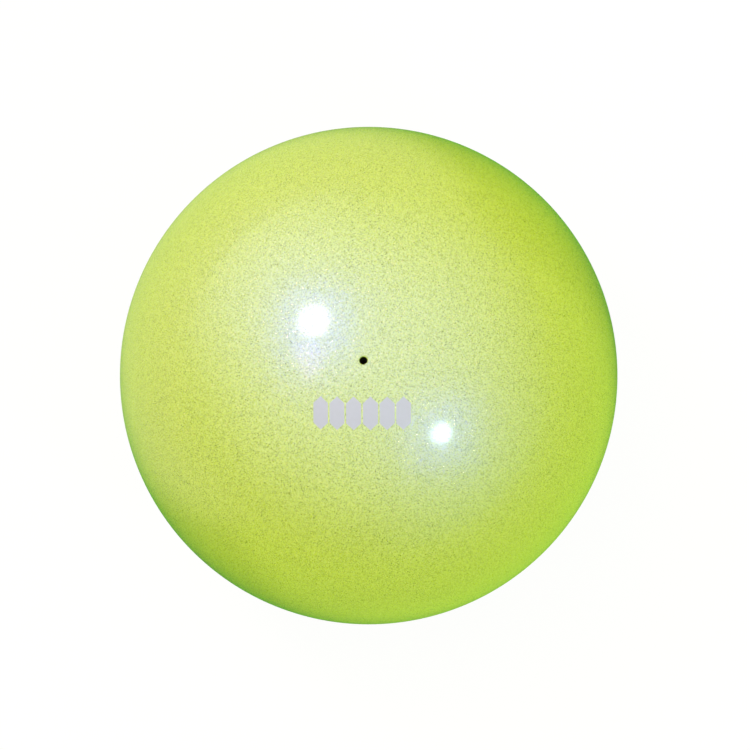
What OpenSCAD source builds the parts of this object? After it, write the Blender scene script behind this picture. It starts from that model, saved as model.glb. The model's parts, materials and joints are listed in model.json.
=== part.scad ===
// Rhythmic gymnastics ball: a hollow rubber ball in two bonded halves, with a self-sealing needle
// valve inside and two flexible coats outside. Millimetres. The origin is the centre of the ball
// and +Z runs out through the needle hole.

/* [Ball] */
// Outside diameter of the finished ball
ball_d = 185; // [150:1:200]
// Film of cement between two bonded faces
bond_line = 0.05; // [0.02:0.01:0.1]

/* [Coats] */
// Thickness of the clear top coat that carries the glitter
glitter_coat_t = 0.25; // [0.15:0.05:0.6]
// Thickness of the lime colour coat under it
colour_coat_t = 0.15; // [0.1:0.05:0.4]

/* [Rubber wall] */
// Thickness of the moulded rubber wall
wall_t = 2.85; // [2:0.05:5]
// Height of the slanted lap where the two halves are bonded
seam_lap = 6; // [2:0.5:12]

/* [Needle hole] */
// Diameter of the hole that the inflating needle goes in by
needle_hole_d = 2.8; // [2:0.1:4]
// Rounding of the hole's mouth
mouth_round = 0.4; // [0.1:0.1:0.8]

/* [Valve core] */
// Diameter of the head that lies against the wall
core_head_d = 9; // [8:0.5:14]
// Thickness of the head
core_head_t = 1.5; // [1:0.1:3]
// Diameter of the shank
core_shank_d = 6.4; // [5:0.2:7]
// Length from the wall to the tip
core_l = 9; // [8:0.5:14]
// How far the snap bead stands out from the shank
core_bead_h = 0.6; // [0.2:0.1:1]
// Radius of the snap bead's section
core_bead_r = 1.1; // [0.8:0.1:1.4]
// Length of the taper at the tip
core_tip_l = 1.2; // [0.5:0.1:2]
// Depth of the funnel that guides the needle to the slit
funnel_depth = 2.2; // [1:0.1:4]
// Width of the slit across the core
slit_w = 2; // [1:0.1:3]
// Opening of the slit at rest
slit_gap = 0.12; // [0.05:0.01:0.3]

/* [Valve housing] */
// Gap between the core and its pocket
core_fit = 0.05; // [0.02:0.01:0.2]
// Rubber round the core's head
boss_wall = 2; // [1.5:0.1:4]
// Rubber behind the core's tip
end_wall = 2; // [1.5:0.1:4]
// Diameter of the air hole in the end wall
air_hole_d = 2.6; // [1.5:0.1:4]
// Rounding of the boss at its inner end
boss_round = 1.5; // [0.5:0.1:3]
// How far the bonding flange reaches past the boss
flange_reach = 8.5; // [6:0.5:16]
// Thickness of the flange next to the boss
flange_t = 2.2; // [1.8:0.1:4]
// Thickness of the flange at its skived rim
flange_edge_t = 0.5; // [0.3:0.1:1]
// Fillet between the flange and the boss
root_fillet = 2; // [0.5:0.1:4]

/* [Hidden] */
$fn = 192;

ball_r = ball_d / 2;
glitter_in_r = ball_r - glitter_coat_t;
colour_out_r = glitter_in_r - bond_line;
colour_in_r = colour_out_r - colour_coat_t;
wall_out_r = colour_in_r - bond_line;
wall_in_r = wall_out_r - wall_t;
valve_top_r = wall_in_r - bond_line;

hole_r = needle_hole_d / 2;
mouth_r = hole_r + mouth_round;
mouth_z = sqrt(pow(ball_r, 2) - pow(mouth_r, 2));

// The slanted lap runs from the wall's inside above the equator to its outside below it
lap_in_r = sqrt(pow(wall_in_r, 2) - pow(seam_lap / 2, 2));
lap_out_r = sqrt(pow(wall_out_r, 2) - pow(seam_lap / 2, 2));
lap_slope = seam_lap / (lap_out_r - lap_in_r);
lap_gap = bond_line * sqrt(1 + pow(lap_slope, 2));

head_r = core_head_d / 2;
shank_r = core_shank_d / 2;
bead_x = shank_r + core_bead_h - core_bead_r;
tip_z = valve_top_r - core_l;
bead_z = tip_z + core_tip_l + core_bead_r;
tip_r = shank_r - core_tip_l / 2;

boss_r = head_r + core_fit + boss_wall;
boss_end_z = tip_z - core_fit - end_wall;
flange_r = boss_r + flange_reach;
flange_z = valve_top_r - flange_t;
flange_edge_z = sqrt(pow(valve_top_r, 2) - pow(flange_r, 2)) - flange_edge_t;

// Right half of a disc of radius r, the half of a ball's section that is spun
module half_disc(r) {
  intersection() {
    circle(r);
    translate([0, -r])
      square([r, 2 * r]);
  }
}

// Half of the section of a hollow ball
module half_ring(outer, inner) {
  difference() {
    half_disc(outer);
    circle(inner);
  }
}

// Section of the needle hole with its rounded mouth
module needle_hole_section() {
  translate([0, tip_z])
    square([hole_r, ball_r - tip_z + mouth_round]);
  difference() {
    translate([0, mouth_z - mouth_round])
      square([mouth_r, 2 * mouth_round]);
    translate([mouth_r, mouth_z - mouth_round])
      circle(mouth_round);
  }
}

// Section of the core's outside, grown by gap for the pocket that it sits in
module core_outline(gap) {
  translate([0, valve_top_r - core_head_t - gap])
    square([head_r + gap, core_head_t + gap]);
  translate([0, tip_z + core_tip_l])
    square([shank_r + gap, core_l - core_tip_l]);
  translate([bead_x, bead_z])
    circle(core_bead_r + gap);
  polygon([
    [0, tip_z - gap],
    [tip_r + gap, tip_z - gap],
    [shank_r + gap, tip_z + core_tip_l],
    [0, tip_z + core_tip_l]
  ]);
}

// Section above or below the slanted lap: side is 1 for the front half, -1 for the rear half
module lap_side(side) {
  past_wall = wall_t / 2;
  edge_z = seam_lap / 2 + lap_slope * past_wall;
  rise = side * lap_gap / 2;
  polygon([
    [0, side * ball_d],
    [0, edge_z + rise],
    [lap_in_r - past_wall, edge_z + rise],
    [lap_out_r + past_wall, rise - edge_z],
    [ball_d, rise - edge_z],
    [ball_d, side * ball_d]
  ]);
}

// Upper half of the rubber wall, with the needle hole
module front_half_shell() {
  color([0.72, 0.80, 0.36])
    rotate_extrude()
      difference() {
        intersection() {
          half_ring(wall_out_r, wall_in_r);
          lap_side(1);
        }
        needle_hole_section();
      }
}

// Lower half of the rubber wall
module rear_half_shell() {
  color([0.66, 0.75, 0.32])
    rotate_extrude()
      intersection() {
        half_ring(wall_out_r, wall_in_r);
        lap_side(-1);
      }
}

// Section of the housing without its pocket
module housing_outline() {
  intersection() {
    half_disc(valve_top_r);
    polygon([
      [0, valve_top_r],
      [flange_r, valve_top_r],
      [flange_r, flange_edge_z],
      [boss_r + root_fillet, flange_z],
      [0, flange_z]
    ]);
  }
  translate([0, boss_end_z + boss_round])
    square([boss_r, flange_z - boss_end_z - boss_round]);
  translate([0, boss_end_z])
    square([boss_r - boss_round, boss_round]);
  translate([boss_r - boss_round, boss_end_z + boss_round])
    circle(boss_round);
  translate([boss_r, flange_z - root_fillet])
    difference() {
      square(root_fillet);
      translate([root_fillet, 0])
        circle(root_fillet);
    }
}

// Rubber patch bonded inside the wall, with the boss that holds the core
module valve_housing() {
  color([0.30, 0.31, 0.30])
    rotate_extrude()
      difference() {
        housing_outline();
        core_outline(core_fit);
        translate([0, boss_end_z - end_wall])
          square([air_hole_d / 2, 2 * end_wall + core_fit]);
      }
}

// Soft plug that closes round the needle: head, shank, snap bead, funnel and slit
module valve_core() {
  funnel_z = valve_top_r - funnel_depth;
  color([0.05, 0.05, 0.05])
    difference() {
      rotate_extrude()
        difference() {
          intersection() {
            half_disc(valve_top_r);
            core_outline(0);
          }
          polygon([
            [0, valve_top_r],
            [hole_r, valve_top_r],
            [slit_gap / 2, funnel_z],
            [0, funnel_z]
          ]);
        }
      translate([-slit_w / 2, -slit_gap / 2, tip_z - core_tip_l])
        cube([slit_w, slit_gap, funnel_z - tip_z + 2 * core_tip_l]);
    }
}

// Pigmented skin that gives the ball its lime colour
module colour_coat() {
  color([0.70, 0.82, 0.22])
    rotate_extrude()
      difference() {
        half_ring(colour_out_r, colour_in_r);
        needle_hole_section();
      }
}

// Clear glossy skin with the glitter in it
module glitter_coat() {
  color([0.80, 0.87, 0.45])
    rotate_extrude()
      difference() {
        half_ring(ball_r, glitter_in_r);
        needle_hole_section();
      }
}

rear_half_shell();
front_half_shell();
valve_housing();
valve_core();
colour_coat();
glitter_coat();
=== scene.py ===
# %% [markdown]
# # A glitter ball for rhythmic gymnastics
#
# The ball is a hollow rubber ball under two thin coats. The lime coat gives it its colour, and the
# clear coat on top carries the pearl, the glitter and the shine. The CAD model already holds every
# solid at its real size, so this lesson only dresses it: it loads that model as a frame, turns the
# outer skin again with a finer mesh, and gives each piece the finish that the real one has.

# %% Load the frame
import json
import math

import bmesh
import bpy
from mathutils import Matrix, Vector


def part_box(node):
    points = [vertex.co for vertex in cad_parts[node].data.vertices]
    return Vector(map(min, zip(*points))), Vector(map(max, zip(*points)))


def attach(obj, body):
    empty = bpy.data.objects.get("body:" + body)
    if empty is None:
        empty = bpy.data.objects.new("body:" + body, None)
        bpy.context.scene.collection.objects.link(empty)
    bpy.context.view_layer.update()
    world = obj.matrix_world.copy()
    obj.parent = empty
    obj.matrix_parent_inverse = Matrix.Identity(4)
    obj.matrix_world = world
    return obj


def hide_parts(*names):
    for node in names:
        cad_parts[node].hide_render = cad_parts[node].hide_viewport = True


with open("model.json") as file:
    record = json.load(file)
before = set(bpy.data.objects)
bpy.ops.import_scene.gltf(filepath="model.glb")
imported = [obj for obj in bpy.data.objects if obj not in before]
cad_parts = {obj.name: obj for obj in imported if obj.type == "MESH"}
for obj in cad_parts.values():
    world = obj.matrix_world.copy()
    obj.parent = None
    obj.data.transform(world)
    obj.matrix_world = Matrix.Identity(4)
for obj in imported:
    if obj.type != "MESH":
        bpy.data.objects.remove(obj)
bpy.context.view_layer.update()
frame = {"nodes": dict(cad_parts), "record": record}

scene = bpy.context.scene
ROOT = "root"
MM = 0.001
print("CAD nodes:", sorted(frame["nodes"]))

# %% [markdown]
# Every size comes from the frame where the frame knows it. The lowest point of each coat lies on the
# ball's axis, where a CAD mesh is exact, so it gives that coat's radius. The needle hole's radius is
# in the record, as the size of a mount.

# %% Read the sizes
ball_r = -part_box("glitter_coat")[0].z
lime_r = -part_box("colour_coat")[0].z
mounts = {mount["name"]: mount for mount in frame["record"]["mounts"]}
hole_r = mounts["needle_hole"]["dims"]["r_mm"] * MM
mouth_round = 0.4 * MM
print(f"ball {2 * ball_r / MM:.1f} mm across, needle hole {2 * hole_r / MM:.1f} mm across")

# %% [markdown]
# ## Seeing the ball from where the photograph was taken
#
# The photograph looks almost straight at the needle hole, so the camera stands nearly above the ball.
# A long lens far away keeps the outline a circle. The ball's outline and the hole's place in the
# picture fix the rest: a ball of radius r at distance d shows as a circle of radius
# f * r / sqrt(d² - r²), and the hole's offset from the middle of that circle gives the tilt.

# %% Place the camera
PICTURE = 750
OUTLINE_X = 368.2
OUTLINE_Y = 375.1
OUTLINE_R = 248.8
HOLE_X = 362.9
HOLE_Y = 360.0
SENSOR = 36
CAMERA_DISTANCE = 1.2


def camera_axes():
    """Right, up and back of a camera that sees the hole where the photograph has it."""
    nearness = math.sqrt(CAMERA_DISTANCE**2 - ball_r**2) / (CAMERA_DISTANCE - ball_r)
    hole_right = (HOLE_X - OUTLINE_X) / OUTLINE_R / nearness
    hole_up = (OUTLINE_Y - HOLE_Y) / OUTLINE_R / nearness
    right = Vector((math.sqrt(1 - hole_right**2), 0, hole_right))
    back_z = math.sqrt(1 - hole_right**2 - hole_up**2)
    back_x = -hole_right * back_z / right.x
    back = Vector((back_x, -math.sqrt(1 - back_x**2 - back_z**2), back_z))
    return right, back.cross(right), back


right, up, back = camera_axes()
pixels_per_slope = OUTLINE_R * math.sqrt(CAMERA_DISTANCE**2 - ball_r**2) / ball_r
lens = bpy.data.cameras.new("photo_camera")
lens.sensor_width = SENSOR
lens.lens = SENSOR * pixels_per_slope / PICTURE
lens.shift_x = ((PICTURE - 1) / 2 - OUTLINE_X) / PICTURE
lens.shift_y = (OUTLINE_Y - (PICTURE - 1) / 2) / PICTURE
camera = bpy.data.objects.new("photo_camera", lens)
turn = Matrix((right, up, back)).transposed().to_4x4()
camera.matrix_world = Matrix.Translation(back * CAMERA_DISTANCE) @ turn
scene.collection.objects.link(camera)
scene.camera = camera
print(f"camera {CAMERA_DISTANCE:.2f} m away with a {lens.lens:.0f} mm lens")

# %% [markdown]
# What the photograph shows at a pixel can now be found on the ball: a ray leaves the camera through
# that pixel, and the nearer point where it meets the sphere is the place. The print uses it, and so
# do the lamps, whose highlights tell where they hung.

# %% Find a pixel on the ball


def seen_at(x, y):
    """The ray through a pixel of the picture and the point of the ball that it meets first."""
    across = right * ((x - OUTLINE_X) / pixels_per_slope)
    upward = up * ((OUTLINE_Y - y) / pixels_per_slope)
    ray = (across + upward - back).normalized()
    eye = back * CAMERA_DISTANCE
    nearest = -ray.dot(eye)
    depth = nearest - math.sqrt(nearest**2 - CAMERA_DISTANCE**2 + ball_r**2)
    return ray, eye + ray * depth


hole_seen = seen_at(HOLE_X, HOLE_Y)[1]
print(f"the hole is seen {hole_seen.xy.length / MM:.2f} mm from the ball's axis")

# %% [markdown]
# ## A small language for finishes
#
# A finish is a tree of shader nodes. Wired by hand that is slow to write and hard to read, so one
# class wraps an output socket and turns arithmetic on it into Math nodes, and one method makes any
# other node from its type, its settings and what its sockets take.


# %% Let sockets do arithmetic
class Wire:
    """An output socket, with operators that add Math nodes behind it."""

    def __init__(self, finish, socket):
        self.finish = finish
        self.socket = socket

    def math(self, operation, *values):
        settings = {"operation": operation}
        return self.finish.node("ShaderNodeMath", settings, dict(enumerate(values)))

    def __add__(self, other):
        return self.math("ADD", self, other)

    def __sub__(self, other):
        return self.math("SUBTRACT", self, other)

    def __rsub__(self, other):
        return self.math("SUBTRACT", other, self)

    def __mul__(self, other):
        return self.math("MULTIPLY", self, other)

    def __lt__(self, other):
        return self.math("LESS_THAN", self, other)

    def __gt__(self, other):
        return self.math("GREATER_THAN", self, other)

    def __neg__(self):
        return self.math("MULTIPLY", self, -1.0)

    def positive(self):
        """The value where it is above zero, and zero elsewhere."""
        return self.math("MAXIMUM", self, 0.0)

    def other(self, name):
        """Another output of the same node."""
        return Wire(self.finish, self.socket.node.outputs[name])

    __radd__ = __add__
    __rmul__ = __mul__


print("sockets can be added, subtracted, multiplied and compared")


# %% Write a finish one node at a time
class Finish:
    """The nodes of a material or of the world, written one at a time."""

    def __init__(self, owner):
        owner.use_nodes = True
        self.owner = owner
        self.tree = owner.node_tree
        self.tree.nodes.clear()

    def node(self, kind, settings=None, sockets=None, output=0):
        """Adds a node of a kind, sets it up, feeds its sockets and returns one of its outputs."""
        made = self.tree.nodes.new(kind)
        for name, value in (settings or {}).items():
            setattr(made, name, value)
        for name, value in (sockets or {}).items():
            if isinstance(value, Wire):
                self.tree.links.new(value.socket, made.inputs[name])
            else:
                made.inputs[name].default_value = value
        return Wire(self, made.outputs[output]) if made.outputs else None

    def place(self):
        """Where a point lies on its piece, in metres."""
        return self.node("ShaderNodeTexCoord", output="Object")

    def vector(self, operation, *values):
        """A Vector Math node."""
        settings = {"operation": operation}
        return self.node("ShaderNodeVectorMath", settings, dict(enumerate(values)))

    def blend(self, share, first, second):
        """One colour turning into another as share goes from 0 to 1."""
        sockets = {"Factor": share, 6: first, 7: second}
        return self.node("ShaderNodeMix", {"data_type": "RGBA"}, sockets, output=2)

    def mixed(self, share, first, second):
        """One shader turning into another as share goes from 0 to 1."""
        return self.node("ShaderNodeMixShader", None, {0: share, 1: first, 2: second})

    def added(self, first, second):
        """The light of two shaders together."""
        return self.node("ShaderNodeAddShader", None, {0: first, 1: second})

    def surface(self, **sockets):
        """Ends a material with a Principled shader."""
        named = {name.replace("_", " "): value for name, value in sockets.items()}
        shader = self.node("ShaderNodeBsdfPrincipled", None, named)
        self.node("ShaderNodeOutputMaterial", None, {"Surface": shader})
        return self.owner


def new_finish(name):
    """A new material that waits for its nodes."""
    return Finish(bpy.data.materials.new(name))


print("a finish is written with node, vector, blend, mixed, added and surface")

# %% [markdown]
# ## The outer skin
#
# The clear coat is a closed shell a quarter of a millimetre thick, with the needle hole at its pole.
# A sphere primitive has no wall and no hole. A lathe gives both: one vertex at the foot of the ball is
# spun up the outside, round the lip of the hole, down its wall and back along the inside, and that
# section is then spun once round the axis.

# %% Spin sections on a lathe
AROUND_Y = Vector((0, -1, 0))
WELD = 0.0001 * MM


def turned_arc(bm, vertex, centre, angle, steps):
    """Spins one vertex into an arc in the section plane and returns the arc's last vertex."""
    spun = bmesh.ops.spin(
        bm, geom=[vertex], cent=centre, axis=AROUND_Y, angle=angle, steps=steps
    )
    return next(item for item in spun["geom_last"] if isinstance(item, bmesh.types.BMVert))


def drawn_line(bm, vertex, end):
    """Extrudes one vertex straight to a point."""
    made = bmesh.ops.extrude_vert_indiv(bm, verts=[vertex])
    made["verts"][0].co = end
    return made["verts"][0]


def turned(bm, steps):
    """Spins the section round the ball's axis and closes it at the poles."""
    section = bm.verts[:] + bm.edges[:]
    bmesh.ops.spin(
        bm, geom=section, cent=(0, 0, 0), axis=(0, 0, 1), angle=math.tau, steps=steps, use_merge=True
    )
    bmesh.ops.remove_doubles(bm, verts=bm.verts, dist=WELD)
    bmesh.ops.recalc_face_normals(bm, faces=bm.faces)


print("the lathe spins a section in the XZ plane round the Z axis")

# %% Turn the skin
SKIN_STEPS = 232
OUTSIDE_STEPS = 190
INSIDE_STEPS = 95
LIP_STEPS = 6


def skin_mesh():
    """The clear coat's section, turned round the axis."""
    mouth_r = hole_r + mouth_round
    outside_turn = math.pi - math.asin(mouth_r / ball_r)
    inside_turn = math.pi - math.asin(hole_r / lime_r)
    bm = bmesh.new()
    foot = bm.verts.new((0, 0, -ball_r))
    rim = turned_arc(bm, foot, (0, 0, 0), outside_turn, OUTSIDE_STEPS)
    lip_centre = rim.co - Vector((0, 0, mouth_round))
    lip = turned_arc(bm, rim, lip_centre, math.pi / 2, LIP_STEPS)
    hole_foot = drawn_line(bm, lip, (hole_r, 0, lime_r * -math.cos(inside_turn)))
    turned_arc(bm, hole_foot, (0, 0, 0), -inside_turn, INSIDE_STEPS)
    turned(bm, SKIN_STEPS)
    return bm


skin_bm = skin_mesh()
print(f"the skin has {len(skin_bm.faces)} faces")

# %% [markdown]
# Close up, the photographed mouth isn't a perfect circle: a small burr of rubber leans into it on one
# side, left where the hole was pierced. It could be a separate scrap, but on the real ball it is part
# of the skin, so a few vertices of the lip are pushed towards the axis instead, most at the middle of
# the burr and less to its sides.

# %% Leave a burr on the lip
BURR_X = 365.5
BURR_Y = 363.5
BURR_REACH = 0.15 * MM
BURR_SPREAD = math.radians(15)


def raise_burr(bm):
    """Pushes the hole's wall inwards at one side and counts the vertices that moved."""
    away = seen_at(BURR_X, BURR_Y)[1] - hole_seen
    middle = math.atan2(away.y, away.x)
    moved = 0
    for vertex in bm.verts:
        radius = vertex.co.xy.length
        if vertex.co.z > 0 and 0 < radius < hole_r + mouth_round / 2:
            aside = math.remainder(math.atan2(vertex.co.y, vertex.co.x) - middle, math.tau)
            push = BURR_REACH * math.exp(-((aside / BURR_SPREAD) ** 2))
            vertex.co.xy = vertex.co.xy * (1 - push / radius)
            moved += 1
    return moved


print("burr: moved", raise_burr(skin_bm), "vertices of the lip")

# %% [markdown]
# ## The glitter lacquer
#
# Under the clear coat the ball is a plain lime. The coat holds a dust of pearl: mica flakes that
# mirror blue and let the rest through, so that a mint glow lies round each lamp's highlight. The glow
# is bright close to the highlight and faint far round it, because some flakes lie flat in the lacquer
# and others lie loose.
#
# A metal mixed into the colour could give a glow too, but a metal would grey the lime. A Principled
# shader can carry the pearl as its dielectric reflection instead: a high IOR makes it strong, and the
# Specular Tint makes it blue. A Voronoi pattern cuts the skin into flakes. Each leans a little its own
# way, and a draw for each one says whether it is a flat one, with a low roughness, or a loose one.

# %% Scatter the pearl
PEARL_SIZE = 0.1 * MM
PEARL_LEAN = 0.3
FLAT_SHARE = 0.35
FLAT_ROUGHNESS = 0.22
LOOSE_ROUGHNESS = 0.47


def pearl_dust(finish):
    """The normal of each flake of pearl, and its roughness."""
    sockets = {"Vector": finish.place(), "Scale": 1 / PEARL_SIZE}
    flake = finish.node("ShaderNodeTexVoronoi", None, sockets, output="Color")
    lean = finish.vector("SUBTRACT", flake, (0.5, 0.5, 0.5))
    facing = finish.node("ShaderNodeNewGeometry", output="Normal")
    lean_most = (PEARL_LEAN, PEARL_LEAN, PEARL_LEAN)
    normal = finish.vector("NORMALIZE", finish.vector("MULTIPLY_ADD", lean, lean_most, facing))
    lot = finish.node("ShaderNodeTexWhiteNoise", None, {"Vector": flake.other("Position")})
    flat = lot < FLAT_SHARE
    return normal, LOOSE_ROUGHNESS - (LOOSE_ROUGHNESS - FLAT_ROUGHNESS) * flat


print(f"pearl flakes of {PEARL_SIZE / MM} mm, {FLAT_SHARE:.0%} of them flat")

# %% [markdown]
# The coarser glitter shows as specks. On the real ball most look dark, where a flake of metal
# that leans the wrong way mirrors the dark of the room; here that is painted shade, a near-black
# metal colour given to those flakes. Some are paler than the lime, and one in a hundred is a spark
# of gold or pink. Modelled flakes would be millions of tiny faces, so a second Voronoi pattern draws
# them, and a lot drawn for each cell says what it holds.
#
# Three more settings finish the lacquer. Diffuse Roughness keeps the lime bright towards the edge of
# the ball, as dust in a coat does. A green sheen stands for the light that travels sideways through the
# coat and comes out at the rim. The Principled coat, which keeps its own smooth normal, gives the hard
# wet highlights over all of it.

# %% Write the glitter finish
FLAKE_SIZE = 0.155 * MM
# painted shade: this share of flakes gets a near-black metal colour in place of mirroring the dark room
PAINTED_SHADE_SHARE = 0.11
PALE_SHARE = 0.10
SPARK_SHARE = 0.01
LIME = (0.755, 0.89, 0.015, 1)
PAINTED_SHADE_FLAKE = (0.05, 0.07, 0.01, 1)
PALE_FLAKE = (0.97, 1.0, 0.15, 1)
GOLD_FLAKE = (1.0, 0.88, 0.35, 1)
PINK_FLAKE = (1.0, 0.85, 0.75, 1)
PEARL_BLUE = (0.0, 0.0, 1.0, 1)
EDGE_GREEN = (0.05, 1.0, 0.0, 1)
EDGE_WEIGHT = 0.35
EDGE_ROUGHNESS = 0.5
LIME_ROUGHNESS = 0.4
PEARL_IOR = 3.85
COAT_WEIGHT = 0.9
COAT_IOR = 1.45
COAT_ROUGHNESS = 0.12


def glitter_finish():
    """Lime under pearl and glitter, with a green edge and a clear coat on top."""
    finish = new_finish("glitter_lacquer")
    sockets = {"Vector": finish.place(), "Scale": 1 / FLAKE_SIZE}
    cell = finish.node("ShaderNodeTexVoronoi", None, sockets, output="Position")
    lot = finish.node("ShaderNodeTexWhiteNoise", None, {"Vector": cell})
    hue = finish.node("ShaderNodeSeparateColor", None, {"Color": lot.other("Color")}, output="Green")
    # painted shade: these flakes are coloured near-black to stand for glitter that mirrors the dark room
    painted_shade = lot < PAINTED_SHADE_SHARE
    pale = (1 - PALE_SHARE) < lot
    spark = (1 - SPARK_SHARE) < lot
    ground = finish.blend(painted_shade, finish.blend(pale, LIME, PALE_FLAKE), PAINTED_SHADE_FLAKE)
    normal, roughness = pearl_dust(finish)
    return finish.surface(
        Base_Color=finish.blend(spark, ground, finish.blend(hue, GOLD_FLAKE, PINK_FLAKE)),
        Metallic=painted_shade + spark,
        Normal=normal,
        Roughness=roughness,
        Diffuse_Roughness=LIME_ROUGHNESS,
        IOR=PEARL_IOR,
        Specular_Tint=PEARL_BLUE,
        Sheen_Weight=EDGE_WEIGHT,
        Sheen_Roughness=EDGE_ROUGHNESS,
        Sheen_Tint=EDGE_GREEN,
        Coat_Weight=COAT_WEIGHT,
        Coat_IOR=COAT_IOR,
        Coat_Roughness=COAT_ROUGHNESS,
    )


glitter = glitter_finish()
print(f"{glitter.name}: {len(glitter.node_tree.nodes)} nodes")

# %% [markdown]
# Every new piece becomes an object in the same way: its faces are shaded smooth apart from its sharp
# edges, and it rides on the ball's one body.

# %% Make the skin an object
SHARP_EDGE = math.radians(40)


def piece(bm, name, finish):
    """Makes a mesh object that rides on the ball, smooth but for its sharp edges."""
    for face in bm.faces:
        face.smooth = True
    for edge in bm.edges:
        edge.smooth = len(edge.link_faces) == 2 and edge.calc_face_angle() < SHARP_EDGE
    mesh = bpy.data.meshes.new(name)
    bm.to_mesh(mesh)
    bm.free()
    mesh.materials.append(finish)
    made = bpy.data.objects.new(name, mesh)
    scene.collection.objects.link(made)
    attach(made, ROOT)
    return made


skin = piece(skin_bm, "glitter_skin", glitter)
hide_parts("glitter_coat")
print(f"{skin.name}: {len(skin.data.polygons)} faces")

# %% [markdown]
# ## The print
#
# Such a ball carries a small print in silver ink below the hole. Here it is a row of plain crystals.
# The row could be painted into the lacquer's colour, but ink lies on top of the glitter and hides it,
# with an edge of its own, so each crystal is a thin film. One is cut from a flat grid, whose four
# corners are sliced off, and copied along the row. Moving every point along its radius then lays the
# row on the ball, and solidify gives the film its thickness.

# %% Print the crystals
PRINT_X = 361.5
PRINT_Y = 413.0
CRYSTALS = 6
CRYSTAL_WIDTH = 5.2 * MM
CRYSTAL_HEIGHT = 11.8 * MM
CRYSTAL_POINT = 2.4 * MM
CRYSTAL_PITCH = 5.8 * MM
INK_TOP = ball_r + 0.03 * MM
INK_THICKNESS = 0.05 * MM
INK_STEPS = 12


def everything(bm):
    """All vertices, edges and faces of a mesh."""
    return bm.verts[:] + bm.edges[:] + bm.faces[:]


def crystal_mesh():
    """One flat crystal: an upright rectangle that comes to a point at each end."""
    bm = bmesh.new()
    size = Matrix.Diagonal((CRYSTAL_WIDTH, CRYSTAL_HEIGHT, 1, 1))
    bmesh.ops.create_grid(bm, x_segments=INK_STEPS, y_segments=INK_STEPS, size=0.5, matrix=size)
    for side in (-1, 1):
        for end in (-1, 1):
            bmesh.ops.bisect_plane(
                bm,
                geom=everything(bm),
                plane_co=(0, end * CRYSTAL_HEIGHT / 2, 0),
                plane_no=(side * CRYSTAL_POINT, end * CRYSTAL_WIDTH / 2, 0),
                clear_outer=True,
            )
    return bm


def crystal_row():
    """Copies the crystal along a row and lays the row on the ball."""
    bm = crystal_mesh()
    row_length = (CRYSTALS - 1) * CRYSTAL_PITCH
    bmesh.ops.translate(bm, verts=bm.verts, vec=(-row_length / 2, 0, ball_r))
    first = everything(bm)
    for number in range(1, CRYSTALS):
        copied = bmesh.ops.duplicate(bm, geom=first)["geom"]
        copied_verts = [item for item in copied if isinstance(item, bmesh.types.BMVert)]
        bmesh.ops.translate(bm, verts=copied_verts, vec=(number * CRYSTAL_PITCH, 0, 0))
    facing = seen_at(PRINT_X, PRINT_Y)[1].normalized()
    across = (right - facing * right.dot(facing)).normalized()
    page = Matrix((across, facing.cross(across), facing)).transposed().to_4x4()
    bmesh.ops.transform(bm, matrix=page, verts=bm.verts)
    for vertex in bm.verts:
        vertex.co = vertex.co.normalized() * INK_TOP
    bmesh.ops.solidify(bm, geom=bm.faces[:], thickness=INK_THICKNESS)
    bmesh.ops.recalc_face_normals(bm, faces=bm.faces)
    return bm


ink_bm = crystal_row()
radii = [vertex.co.length / MM for vertex in ink_bm.verts]
print(f"ink from {min(radii):.3f} to {max(radii):.3f} mm, {len(ink_bm.faces)} faces")

# %% [markdown]
# Silver screen ink is a dense dust of fine metal in a binder. At this size no grain of it shows, so it
# reads as a smooth pale grey with a soft sheen. A metal shader would mirror the room and turn dark
# where the room is dark. A grey with a rough gloss keeps the ink pale from every side.

# %% Ink them in silver
SILVER = (0.43, 0.44, 0.62, 1)
SILVER_THIN = (0.40, 0.41, 0.56, 1)
INK_BLOTCH = 1.4 * MM
INK_DETAIL = 3.0
INK_ROUGHNESS = 0.45


def ink_finish():
    """Silver that covers a little more in some blotches than in others."""
    finish = new_finish("silver_ink")
    sockets = {"Vector": finish.place(), "Scale": 1 / INK_BLOTCH, "Detail": INK_DETAIL}
    cover = finish.node("ShaderNodeTexNoise", None, sockets)
    silver = finish.blend(cover, SILVER_THIN, SILVER)
    return finish.surface(Base_Color=silver, Roughness=INK_ROUGHNESS)


ink = piece(ink_bm, "silver_crystals", ink_finish())
print(f"{ink.name}: {len(ink.data.polygons)} faces")

# %% [markdown]
# ## The rubber inside
#
# Only the valve's core shows, as a black disc at the bottom of the needle hole. The lime coat, the two
# half shells and the valve's housing lie behind the skin, but someone may cut the part open, so they
# get finishes too. All five are matt rubber or paint, and one function serves them all. Each could have
# one flat colour. A fine mottle in colour and roughness makes them look like rubber instead of plastic.

# %% Finish the inner pieces
MOTTLE_SIZE = 1.1 * MM
MOTTLE_SHADE = 0.7
MOTTLE_MATT = 0.15
MOTTLE_DETAIL = 4.0
LIME_PAINT = (0.42, 0.63, 0.03, 1)
WALL_GREEN = (0.45, 0.6, 0.1, 1)
PATCH_GREY = (0.07, 0.07, 0.07, 1)
CORE_BLACK = (0.008, 0.008, 0.008, 1)


def rubber_finish(name, colour, roughness):
    """A matt colour with a fine mottle."""
    finish = new_finish(name)
    sockets = {"Vector": finish.place(), "Scale": 1 / MOTTLE_SIZE, "Detail": MOTTLE_DETAIL}
    mottle = finish.node("ShaderNodeTexNoise", None, sockets)
    shade = tuple(MOTTLE_SHADE * part for part in colour[:3]) + (1,)
    return finish.surface(
        Base_Color=finish.blend(mottle, shade, colour), Roughness=MOTTLE_MATT * mottle + roughness
    )


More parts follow.
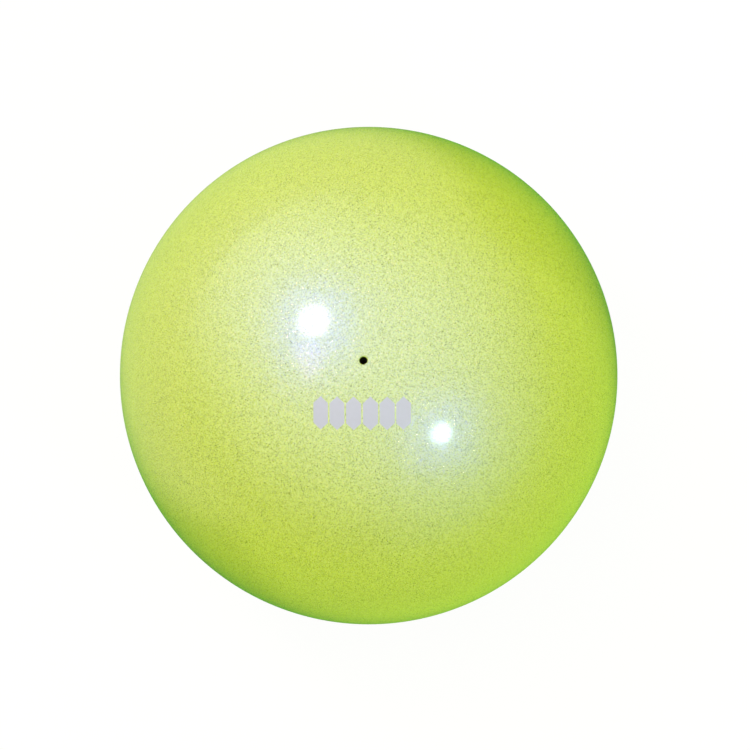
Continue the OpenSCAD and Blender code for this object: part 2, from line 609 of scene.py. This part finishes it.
inner_finishes = {
    "colour_coat": rubber_finish("lime_coat", LIME_PAINT, roughness=0.4),
    "front_half_shell": rubber_finish("wall_rubber", WALL_GREEN, roughness=0.6),
    "rear_half_shell": rubber_finish("wall_rubber_rear", WALL_GREEN, roughness=0.6),
    "valve_housing": rubber_finish("patch_rubber", PATCH_GREY, roughness=0.7),
    "valve_core": rubber_finish("black_rubber", CORE_BLACK, roughness=0.7),
}
for name, finish in inner_finishes.items():
    mesh = frame["nodes"][name].data
    mesh.materials.clear()
    mesh.materials.append(finish)

print("inner finishes:", sorted(inner_finishes))

# %% [markdown]
# ## Lamps
#
# Two round highlights show on the ball, so two round lamps lit it. A ball is a mirror that can be read
# backwards: the ray through a highlight's pixel, reflected where it meets the skin, points at the lamp.
# Each lamp hangs on that line, and its width follows from the width of its highlight. Point lamps would
# be simpler, but their highlights would have no width.
#
# A lamp's power is written as the share of full white that it gives to a white surface facing it, so
# that the levels of the lamps and of the room can be compared.

# %% Hang the lamps
KEY_X = 313.0
KEY_Y = 320.0
SECOND_X = 441.0
SECOND_Y = 433.0
LAMP_DISTANCE = 0.9


def hung_at(x, y):
    """Where a lamp hangs whose highlight shows at a pixel. It faces the ball, upright in the picture."""
    ray, spot = seen_at(x, y)
    way = ray.reflect(spot.normalized())
    tall = (up - way * up.dot(way)).normalized()
    turn = Matrix((tall.cross(way), tall, way)).transposed().to_4x4()
    return Matrix.Translation(spot + way * LAMP_DISTANCE) @ turn


def lamp(name, x, y, width, share, colour):
    """A round lamp that lights a white surface facing it to a share of full white."""
    light = bpy.data.lights.new(name, "AREA")
    light.shape = "DISK"
    light.size = width
    light.color = colour
    light.energy = share * math.pi**2 * LAMP_DISTANCE**2
    made = bpy.data.objects.new(name, light)
    made.matrix_world = hung_at(x, y)
    scene.collection.objects.link(made)
    return made


lamps = [
    lamp("key_lamp", KEY_X, KEY_Y, width=0.25, share=0.267, colour=(0.915, 0.86, 1.0)),
    lamp("second_lamp", SECOND_X, SECOND_Y, width=0.155, share=0.205, colour=(0.64, 0.89, 1.0)),
]
print("lamps:", [f"{made.name} at {made.location.length:.2f} m" for made in lamps])

# %% [markdown]
# Below the first highlight lies a pale patch that narrows downwards, the mirror image of something flat
# and bright beside the lamp. An area lamp can't have that outline, so a card hangs there: a triangle
# with round corners that glows by itself. It shows only as a reflection, because neither the camera nor
# the matt lime sees it.

# %% Hang the card
CARD_X = 309.0
CARD_Y = 359.0
CARD_R = 0.17
CARD_STRETCH = 1.18
CARD_CORNER = 0.075
CARD_CORNER_STEPS = 6
CARD_GLOW = (0.65, 0.43, 1.0, 1)
CARD_LEVEL = 7.0


def card_finish():
    """A plain glow of one colour."""
    finish = new_finish("card")
    glow = finish.node("ShaderNodeEmission", None, {"Color": CARD_GLOW, "Strength": CARD_LEVEL})
    finish.node("ShaderNodeOutputMaterial", None, {"Surface": glow})
    return finish.owner


def stage_piece(bm, name, finish):
    """Makes a mesh object that belongs to the studio and not to the ball."""
    mesh = bpy.data.meshes.new(name)
    bm.to_mesh(mesh)
    bm.free()
    mesh.materials.append(finish)
    made = bpy.data.objects.new(name, mesh)
    scene.collection.objects.link(made)
    return made


card_bm = bmesh.new()
tip_down = hung_at(CARD_X, CARD_Y) @ Matrix.Diagonal((1, -CARD_STRETCH, 1, 1))
bmesh.ops.create_circle(card_bm, cap_ends=True, segments=3, radius=CARD_R, matrix=tip_down)
bmesh.ops.bevel(
    card_bm,
    geom=card_bm.verts[:],
    offset=CARD_CORNER,
    segments=CARD_CORNER_STEPS,
    profile=0.5,
    affect="VERTICES",
    material=-1,
)
card = stage_piece(card_bm, "pale_card", card_finish())
card.visible_camera = False
card.visible_diffuse = False
print(f"card with {len(card.data.vertices)} corners")

# %% [markdown]
# ## Floor and room
#
# The picture's ground is white, and a plain white floor could give it. But such a floor also lights the
# ball from below and shines in its rim, and the real ball's rim is dark green at the upper right and
# the lower left: what lay round it was dark there, pale at the upper left and yellowish at the lower
# right. So the floor has two faces. The camera sees white paper, which keeps a faint shadow. Light that
# bounces sees a dark table with a grey sheet on one side of the ball and a yellow one on the other, and
# a glossy ray sees only a little of the white.

# %% Lay the floor
FLOOR_R = 6.0
FLOOR_STEPS = 96
GREY_WAY = math.radians(144)
YELLOW_WAY = math.radians(311)
SHEET_FROM = 0.055
SHEET_FADE = 0.08
TABLE = (0.02, 0.02, 0.02, 1)
GREY_SHEET = (0.62, 0.54, 0.34, 1)
YELLOW_SHEET = (0.53, 0.64, 0.09, 1)
PAPER = (0.95, 0.95, 0.95, 1)
WHITE = (1, 1, 1, 1)
WHITE_SHARE = 0.93
WHITE_IN_GLOSS = 0.05


def sheet(finish, way):
    """Where a sheet lies: 0 near the ball, and 1 far out on the sheet's side of it."""
    x = finish.node("ShaderNodeSeparateXYZ", None, {0: finish.place()})
    along = x * math.cos(way) + x.other("Y") * math.sin(way)
    return finish.node("ShaderNodeClamp", None, {0: (along - SHEET_FROM) * (1 / SHEET_FADE)})


def floor_finish():
    """White paper for the camera, and a table with two sheets for light that bounces."""
    finish = new_finish("floor")
    yellow_side = finish.blend(sheet(finish, YELLOW_WAY), TABLE, YELLOW_SHEET)
    colour = finish.blend(sheet(finish, GREY_WAY), yellow_side, GREY_SHEET)
    rays = finish.node("ShaderNodeLightPath", output="Is Camera Ray")
    gloss = WHITE_IN_GLOSS * rays.other("Is Glossy Ray")
    sight = rays + rays.other("Is Transmission Ray") + gloss
    bounce = finish.node("ShaderNodeBsdfDiffuse", None, {"Color": colour})
    paper = finish.node("ShaderNodeBsdfDiffuse", None, {"Color": PAPER})
    white = finish.node("ShaderNodeEmission", None, {"Color": WHITE, "Strength": 1.0})
    both = finish.mixed(sight, bounce, finish.mixed(WHITE_SHARE, paper, white))
    finish.node("ShaderNodeOutputMaterial", None, {"Surface": both})
    return finish.owner


floor_bm = bmesh.new()
under_ball = Matrix.Translation((0, 0, -ball_r))
bmesh.ops.create_circle(
    floor_bm, cap_ends=True, segments=FLOOR_STEPS, radius=FLOOR_R, matrix=under_ball
)
floor = stage_piece(floor_bm, "floor", floor_finish())
print(f"{floor.name} {ball_r / MM:.1f} mm below the ball's centre")

# %% [markdown]
# The room's light is soft and a little warm: an even part, a bright ceiling that leans to the back, and
# a pale wall at the back left. The glow at the lower right is greener than that and the one at the
# upper right is bluer, so a green wall stands at the front right and a blue window lies high at the
# back right. A panorama of a real room would do it too, but it is a picture file to carry along. The
# world's own coordinates are enough, because they are the direction in which a ray leaves: its height
# says how much of the ceiling it meets, its two sides give the walls, and its angle to the window's
# direction gives the window. The camera sees plain white in place of all of it.

# %% Light the room
ROOM = 0.22
CEILING = 1.33
CEILING_LEAN = math.radians(10)
BACK_WALL = 1.25
FRONT_WALL = 0.42
ROOM_COLOUR = (1.0, 0.96, 0.62, 1)
FRONT_COLOUR = (0.5, 1.0, 0.8, 1)
WINDOW = 0.3
WINDOW_WAY = (0.3, 0.3, 0.906)
WINDOW_FOCUS = 6.0
WINDOW_COLOUR = (0.2, 0.2, 1.0, 1)


def glow(finish, colour, strength):
    """Light of one colour from far away."""
    return finish.node("ShaderNodeBackground", None, {"Color": colour, "Strength": strength})


def quarter(first, second):
    """1 in the middle of the quarter where both are above zero, and 0 outside it."""
    return 2 * first.positive() * second.positive()


def room_light(finish):
    """The ceiling and the pale wall, the green wall and the blue window, added up."""
    way = finish.node("ShaderNodeTexCoord", output="Generated")
    x = finish.node("ShaderNodeSeparateXYZ", None, {0: way})
    y = x.other("Y")
    above = math.cos(CEILING_LEAN) * x.other("Z") + math.sin(CEILING_LEAN) * y
    ceiling = CEILING * above.positive()
    back_wall = BACK_WALL * quarter(-x, y)
    front_wall = FRONT_WALL * quarter(x, -y)
    toward = finish.vector("DOT_PRODUCT", way, WINDOW_WAY).other("Value").positive()
    window = WINDOW * toward.math("POWER", toward, WINDOW_FOCUS)
    warm = glow(finish, ROOM_COLOUR, ROOM + ceiling + back_wall)
    green = glow(finish, FRONT_COLOUR, front_wall)
    blue = glow(finish, WINDOW_COLOUR, window)
    return finish.added(finish.added(warm, green), blue)


def light_room():
    """Gives the scene a world of room light that the camera sees as white."""
    world = bpy.data.worlds.new("studio")
    scene.world = world
    finish = Finish(world)
    rays = finish.node("ShaderNodeLightPath", output="Is Camera Ray")
    sight = rays + rays.other("Is Transmission Ray")
    shown = finish.mixed(sight, room_light(finish), glow(finish, WHITE, 1.0))
    finish.node("ShaderNodeOutputWorld", None, {"Surface": shown})
    return world


world = light_room()
print(f"{world.name}: {len(world.node_tree.nodes)} nodes")

# %% [markdown]
# ## Finish
#
# Dressing must not change the part's size. The Standard view shows colours as they are written.

# %% Finish
scene.view_settings.view_transform = "Standard"
